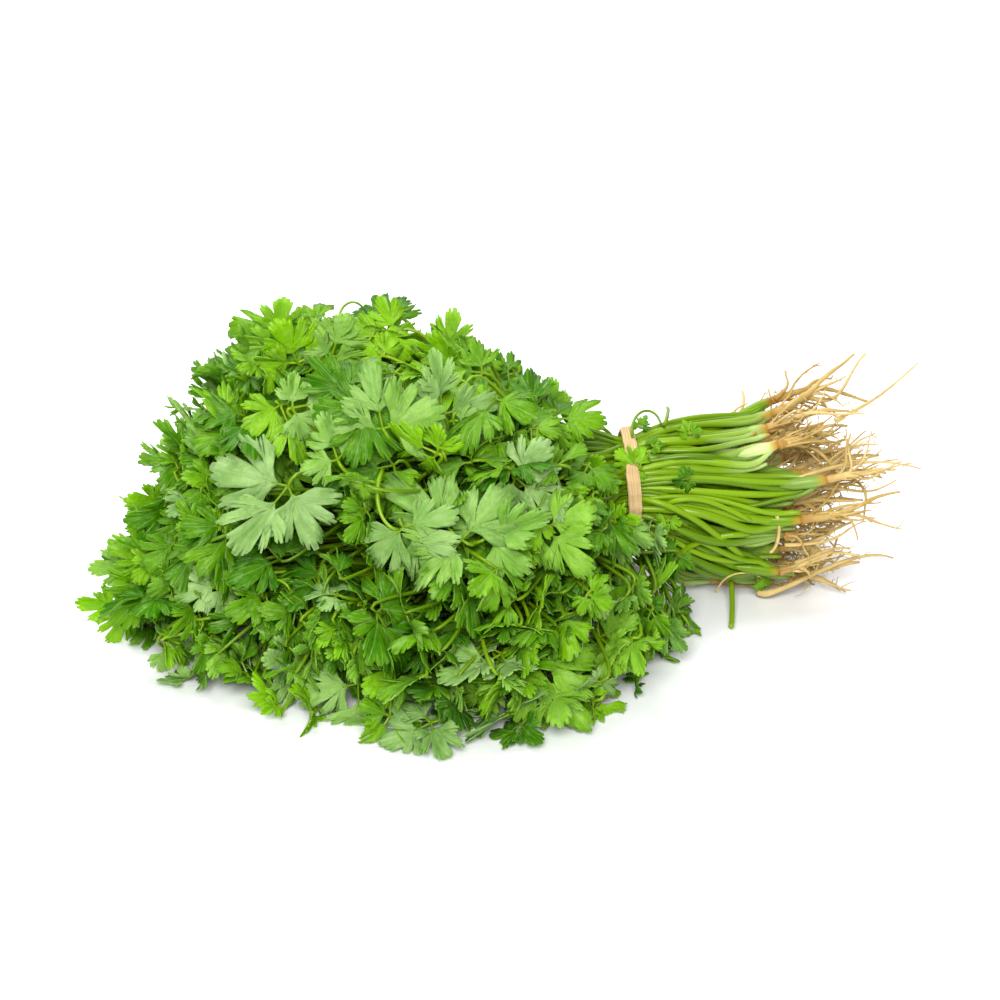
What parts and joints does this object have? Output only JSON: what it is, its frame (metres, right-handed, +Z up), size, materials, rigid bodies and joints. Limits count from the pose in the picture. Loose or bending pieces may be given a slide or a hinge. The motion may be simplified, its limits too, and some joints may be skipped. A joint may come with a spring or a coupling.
{
  "type": "coriander bunch",
  "caption": "Bunch of whole coriander plants lying on a surface, with divided toothed leaves, slender green stems and tan roots, bound by a rubber band.",
  "frame": {"origin": "on the table, under the middle of the bunch's bounding box", "axes": "+X along the bunch from the leaves to the roots, +Z up from the table, +Y across the bunch"},
  "size_m": [0.3676, 0.2328, 0.1344],
  "materials": {
    "leaf_green": "fresh green leaf and stem, slightly waxy",
    "root_tan": "dry tan root skin",
    "band_tan": "matte tan rubber"
  },
  "bodies": {
    "root": {"plant_01": "leaf_green", "plant_02": "leaf_green", "plant_03": "leaf_green", "plant_04": "leaf_green", "plant_05": "leaf_green", "plant_06": "leaf_green", "plant_07": "leaf_green", "plant_08": "leaf_green", "plant_09": "leaf_green", "plant_10": "leaf_green", "plant_11": "leaf_green", "plant_12": "leaf_green", "plant_13": "leaf_green", "plant_14": "leaf_green", "plant_15": "leaf_green", "plant_16": "leaf_green", "plant_17": "leaf_green", "plant_18": "leaf_green", "plant_19": "leaf_green", "root_01": "root_tan", "root_02": "root_tan", "root_03": "root_tan", "root_04": "root_tan", "root_05": "root_tan", "root_06": "root_tan", "root_07": "root_tan", "root_08": "root_tan", "root_09": "root_tan", "root_10": "root_tan", "root_11": "root_tan", "root_12": "root_tan", "root_13": "root_tan", "root_14": "root_tan", "root_15": "root_tan", "root_16": "root_tan", "root_17": "root_tan", "root_18": "root_tan", "root_19": "root_tan", "rubber_band": "band_tan"}
  },
  "joints": []
}
